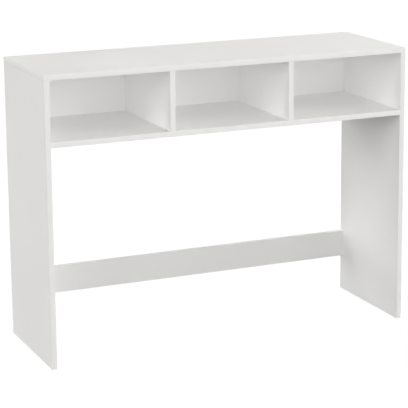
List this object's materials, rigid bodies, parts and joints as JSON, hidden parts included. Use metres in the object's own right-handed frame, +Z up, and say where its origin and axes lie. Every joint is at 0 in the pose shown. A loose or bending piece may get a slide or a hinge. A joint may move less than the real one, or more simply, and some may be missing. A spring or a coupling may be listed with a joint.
{
  "type": "console table",
  "caption": "Narrow free-standing console table: flat top, full-height side boards, open compartments in a row under the top and a low stretcher rail at the back.",
  "frame": {"origin": "on the floor under the middle of the table", "axes": "+X along the table to the right, +Y from the open front to the back, +Z up"},
  "size_m": [1.1, 0.36, 0.82],
  "materials": {
    "white_board": "matte white melamine-faced chipboard",
    "edge_strip": "white plastic edge strip, lightly rounded",
    "zinc_cam": "die-cast zinc cam lock, dull",
    "steel_fastener": "bright zinc-plated steel",
    "dowel_wood": "plain beech dowel",
    "cover_cap": "white moulded plastic cap"
  },
  "bodies": {
    "root": {"back_panel": "white_board", "back_panel_end_cam_bolts": "steel_fastener", "back_panel_end_cam_locks": "zinc_cam", "back_panel_end_dowels": "dowel_wood", "back_panel_to_floor_dowels": "dowel_wood", "back_panel_to_top_dowels": "dowel_wood", "back_panel_top_cam_bolts": "steel_fastener", "back_panel_top_cam_locks": "zinc_cam", "compartment_floor": "white_board", "compartment_floor_front_edge_strip": "edge_strip", "compartment_floor_rear_edge_strip": "edge_strip", "divider_cam_bolts": "steel_fastener", "divider_cam_caps": "cover_cap", "divider_cam_locks": "zinc_cam", "divider_screws": "steel_fastener", "divider_to_floor_dowels": "dowel_wood", "divider_to_top_dowels": "dowel_wood", "floor_cam_bolts": "steel_fastener", "floor_cam_locks": "zinc_cam", "floor_end_dowels": "dowel_wood", "left_divider": "white_board", "left_divider_front_edge_strip": "edge_strip", "left_side_board": "white_board", "left_side_bottom_edge_strip": "edge_strip", "left_side_front_edge_strip": "edge_strip", "left_side_rear_edge_strip": "edge_strip", "left_side_to_top_dowels": "dowel_wood", "lower_back_rail": "white_board", "lower_back_rail_bottom_edge_strip": "edge_strip", "lower_back_rail_top_edge_strip": "edge_strip", "rail_cam_bolts": "steel_fastener", "rail_cam_locks": "zinc_cam", "rail_dowels": "dowel_wood", "right_divider": "white_board", "right_divider_front_edge_strip": "edge_strip", "right_side_board": "white_board", "right_side_bottom_edge_strip": "edge_strip", "right_side_front_edge_strip": "edge_strip", "right_side_rear_edge_strip": "edge_strip", "right_side_to_top_dowels": "dowel_wood", "top_board": "white_board", "top_front_edge_strip": "edge_strip", "top_left_edge_strip": "edge_strip", "top_rear_edge_strip": "edge_strip", "top_right_edge_strip": "edge_strip"}
  },
  "joints": []
}
